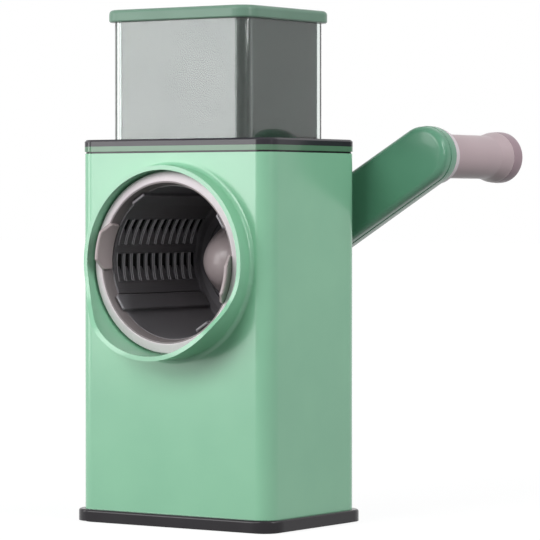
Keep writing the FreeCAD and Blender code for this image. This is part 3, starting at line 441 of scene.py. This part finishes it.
def slotted_sheet(turn):
    """Points and faces of a curved wall with an inner and an outer face, open at its slots."""
    depths, turns = wall_depths(), wall_turns()
    across = len(turns)
    points = [
        ring_point(WALL_INNER - wall_rise(depth, angle), turn + angle, depth)
        for depth in depths for angle in turns]
    behind = len(points)
    points += [ring_point(WALL_OUTER, turn + angle, depth) for depth in depths for angle in turns]
    solid = set()
    for place in range(len(depths) - 1):
        in_slot = from_slot((depths[place] + depths[place + 1]) / 2) < SLOT_HALF_WIDTH - 0.05
        for column in range(across - 1):
            angle = (turns[column] + turns[column + 1]) / 2
            if not (in_slot and any(abs(angle - row) < SLOT_HALF_TURN for row in SLOT_ROWS)):
                solid.add((place, column))
    faces = []
    for place, column in sorted(solid):
        corner = place * across + column
        quad = (corner, corner + 1, corner + across + 1, corner + across)
        faces += [quad, tuple(behind + point for point in reversed(quad))]
        beside = ((place - 1, column), (place, column + 1), (place + 1, column), (place, column - 1))
        for side, neighbour in enumerate(beside):
            if neighbour not in solid:
                start, end = quad[side], quad[(side + 1) % 4]
                faces.append((end, start, behind + start, behind + end))
    return points, faces


def tongue(turn, depth):
    """The eight corners of a cutting tongue, which leans outwards from the near end of its slot."""
    half_width, reach = 2.15, 11.8
    corners = []
    for y in (depth - half_width, depth + half_width):
        corners += [
            ring_point(43.9, turn, y), ring_point(44.8, turn, y),
            ring_point(47.0, turn + reach, y), ring_point(46.2, turn + reach, y)]
    return corners


def make_blade_wall(number, turn, replaced, finish):
    """A slotted wall of the drum: two rows of slots with raised edges and cutting tongues."""
    points, faces = slotted_sheet(turn)
    for row in reversed(SLOT_ROWS):
        for place in range(SLOTS):
            first = len(points)
            points += tongue(turn + row - SLOT_HALF_TURN * 1.08, slot_middle(place))
            for quad in ((0, 1, 2, 3), (4, 5, 6, 7), (0, 1, 5, 4), (1, 2, 6, 5), (2, 3, 7, 6), (3, 0, 4, 7)):
                faces.append(tuple(first + corner for corner in quad))
    add_piece(f"blade_wall_{number}", points, faces, "drum", finish, replaced, 30.0)


def arm_ring(inset, y):
    """The crank arm's outline, moved in by inset: a wide end at the drum axis, a narrower one outside."""
    near, steps = ARM_RADIUS - inset, 40
    ring = []
    for centre, radius, start in ((ARM_LENGTH, near - ARM_TAPER, -90), (0.0, near, 90)):
        for step in range(steps + 1):
            turn = math.radians(start + 180 * step / steps)
            x, z = centre + radius * math.cos(turn), radius * math.sin(turn)
            ring.append((
                x * math.cos(ARM_TURN) - z * math.sin(ARM_TURN), y,
                AXIS_HEIGHT + x * math.sin(ARM_TURN) + z * math.cos(ARM_TURN)))
    return ring


def make_arm(finishes):
    """The crank arm: a front shell with a broad round edge, a fine parting groove and a back shell."""
    front_face, parting, broad, inset = 56.6, 64.25, 4.4, 0.3
    front = [(broad + 6.0, front_face), (broad, front_face)]
    for step in range(1, 10):
        turn = math.radians(10 * step)
        front.append((
            inset + (broad - inset) * (1 - math.sin(turn)), front_face + broad * (1 - math.cos(turn))))
    front += [(inset, 62.2), (inset, 64.0), (0.55, parting)]
    back = [(0.55, parting), (0.0, 64.5), (0.0, 69.7), (0.25, 70.6), (0.9, 71.0), (8.0, 71.0)]
    count = len(arm_ring(0, 0))
    for name, rings, replaced in (
            ("crank_front", front, "crank_front_shell"), ("crank_back", back, "crank_back_shell")):
        points = [point for inset, y in rings for point in arm_ring(inset, y)]
        faces = []
        for ring in range(len(rings) - 1):
            here, ahead = ring * count, (ring + 1) * count
            for place in range(count):
                beside = (place + 1) % count
                faces.append((here + place, here + beside, ahead + beside, ahead + place))
        last = (len(rings) - 1) * count
        faces += [tuple(range(count)), tuple(range(last, last + count))]
        add_piece(name, points, faces, "drive", finishes["crank_green"], [replaced])


def make_grip(finishes):
    """The turning grip: pale foot disc, waisted sleeve, and an end cap with a fine crease before it."""
    bore = 4.6
    turned = (
        ("grip_foot", "mauve_pale", "mauve_pale", "grip_flange",
         [(71.3, bore), (75.4, bore), (75.4, 16.6, 0.7), (71.3, 16.6, 0.7)]),
        ("grip_barrel", "mauve_grey", "grip_mauve", "grip_sleeve",
         [(75.4, bore), (75.4, 13.0, 0.5), (129.5, 13.0, 9.0), (138.5, 15.0, 5.0), (140.6, 15.15, 0.3),
          (140.6, bore)]),
        ("grip_cap", "mauve_grey", "grip_cap_mauve", "grip_end_cap",
         [(140.6, bore), (140.6, 15.2, 0.3), (146.0, 15.45, 8.0), (151.5, 15.3, 2.6), (151.5, bore)]))
    for name, slot, finish, replaced, corners in turned:
        points, faces = lathed(rounded(corners), GRIP_CENTRE, 96, bored=name != "grip_cap")
        add_piece(name, points, faces, "grip", finishes[finish], [replaced])


def make_pieces(finishes):
    """All pieces that the CAD model has in a plainer form."""
    make_bezel(finishes)
    make_ribs(finishes["drum_dark"])
    for number, turn in ((1, -90.0), (2, 90.0)):
        make_tab(f"grip_tab_{number}", turn + TAB_TURN, f"finger_tab_{number}", finishes["mauve_grey"])
        make_blade_wall(
            number, turn + WALL_TURN, [f"blade_strip_{2 * number - 1}", f"blade_strip_{2 * number}"],
            finishes["blade_steel"])
    make_arm(finishes)
    make_grip(finishes)


# Stage


FILL_STRENGTH, WHITE = 0.24, 1.0


def seen_rays(nodes, links):
    """1 for what the camera sees directly, in a reflection or through a clear wall, else 0."""
    path = nodes.new("ShaderNodeLightPath")
    result = path.outputs["Is Camera Ray"]
    for ray in ("Is Glossy Ray", "Is Transmission Ray"):
        either = nodes.new("ShaderNodeMath")
        either.operation = "MAXIMUM"
        links.new(result, either.inputs[0])
        links.new(path.outputs[ray], either.inputs[1])
        result = either.outputs[0]
    return result


def make_world():
    """White for the camera, in reflections and through clear walls, dim as fill light."""
    world = bpy.data.worlds.new("World")
    scene.world = world
    world.use_nodes = True
    nodes, links = world.node_tree.nodes, world.node_tree.links
    nodes.clear()
    output = nodes.new("ShaderNodeOutputWorld")
    fill = nodes.new("ShaderNodeBackground")
    fill.inputs["Color"].default_value = (0.94, 0.97, 1.0, 1.0)
    fill.inputs["Strength"].default_value = FILL_STRENGTH
    seen = nodes.new("ShaderNodeBackground")
    seen.inputs["Color"].default_value = (1.0, 1.0, 1.0, 1.0)
    seen.inputs["Strength"].default_value = WHITE
    mix = nodes.new("ShaderNodeMixShader")
    links.new(seen_rays(nodes, links), mix.inputs[0])
    links.new(fill.outputs[0], mix.inputs[1])
    links.new(seen.outputs[0], mix.inputs[2])
    links.new(mix.outputs[0], output.inputs["Surface"])


def make_floor():
    """A plain floor, white to the eye, that keeps a soft shadow and throws little light back."""
    mesh = bpy.data.meshes.new("floor")
    reach, grey = 12.0, 0.16
    mesh.from_pydata(
        [(-reach, -reach, 0), (reach, -reach, 0), (reach, reach, 0), (-reach, reach, 0)],
        [], [(0, 1, 2, 3)])
    floor = bpy.data.objects.new("floor", mesh)
    scene.collection.objects.link(floor)
    finish = bpy.data.materials.new("floor_white")
    finish.use_nodes = True
    nodes, links = finish.node_tree.nodes, finish.node_tree.links
    plain = nodes["Principled BSDF"]
    plain.inputs["Base Color"].default_value = (grey, grey, grey, 1.0)
    plain.inputs["Roughness"].default_value = 0.9
    plain.inputs["Specular IOR Level"].default_value = 0.0
    glow = nodes.new("ShaderNodeEmission")
    place = nodes.new("ShaderNodeTexCoord")
    away = nodes.new("ShaderNodeVectorMath")
    away.operation = "LENGTH"
    links.new(place.outputs["Object"], away.inputs[0])
    strength = nodes.new("ShaderNodeMapRange")
    strength.interpolation_type = "SMOOTHSTEP"
    for socket, value in (("From Min", 0.25), ("From Max", 1.3), ("To Min", 0.90), ("To Max", WHITE)):
        strength.inputs[socket].default_value = value
    links.new(away.outputs["Value"], strength.inputs["Value"])
    links.new(strength.outputs["Result"], glow.inputs["Strength"])
    seen = nodes.new("ShaderNodeAddShader")
    links.new(plain.outputs[0], seen.inputs[0])
    links.new(glow.outputs[0], seen.inputs[1])
    choose = nodes.new("ShaderNodeMixShader")
    links.new(seen_rays(nodes, links), choose.inputs[0])
    links.new(plain.outputs[0], choose.inputs[1])
    links.new(seen.outputs[0], choose.inputs[2])
    links.new(choose.outputs[0], nodes["Material Output"].inputs["Surface"])
    mesh.materials.append(finish)


def area_lamp(name, azimuth, distance, height, width, tall, radiance):
    """A softbox aimed at the object's middle: azimuth 0 is in front of it, 90 to its right."""
    data = bpy.data.lights.new(name, "AREA")
    data.shape = "RECTANGLE"
    data.size = width
    data.size_y = tall
    data.energy = radiance * math.pi * width * tall
    lamp = bpy.data.objects.new(name, data)
    scene.collection.objects.link(lamp)
    turn = math.radians(azimuth)
    lamp.location = (distance * math.sin(turn), -distance * math.cos(turn), height)
    aim = Vector((0, 0, 0.15)) - Vector(lamp.location)
    lamp.rotation_euler = aim.to_track_quat("-Z", "Y").to_euler()
    lamp.visible_camera = False


def make_lamps():
    """Two softboxes at the front left, one in front and above, and two at the right."""
    area_lamp("softbox_left", azimuth=-33, distance=1.5, height=0.46, width=0.54, tall=0.84, radiance=6.2)
    area_lamp("softbox_far_left", azimuth=-60, distance=1.5, height=0.35, width=0.44, tall=0.7, radiance=5.2)
    area_lamp("softbox_front", azimuth=-6, distance=1.4, height=0.9, width=0.7, tall=0.7, radiance=7.0)
    area_lamp("softbox_right", azimuth=80, distance=1.3, height=0.8, width=0.22, tall=1.0, radiance=13.0)
    area_lamp("side_fill", azimuth=114, distance=1.5, height=1.3, width=0.6, tall=0.5, radiance=6.5)


make_camera()
finishes = make_materials()
dress_nodes(finishes)
make_pieces(finishes)
make_world()
make_floor()
make_lamps()
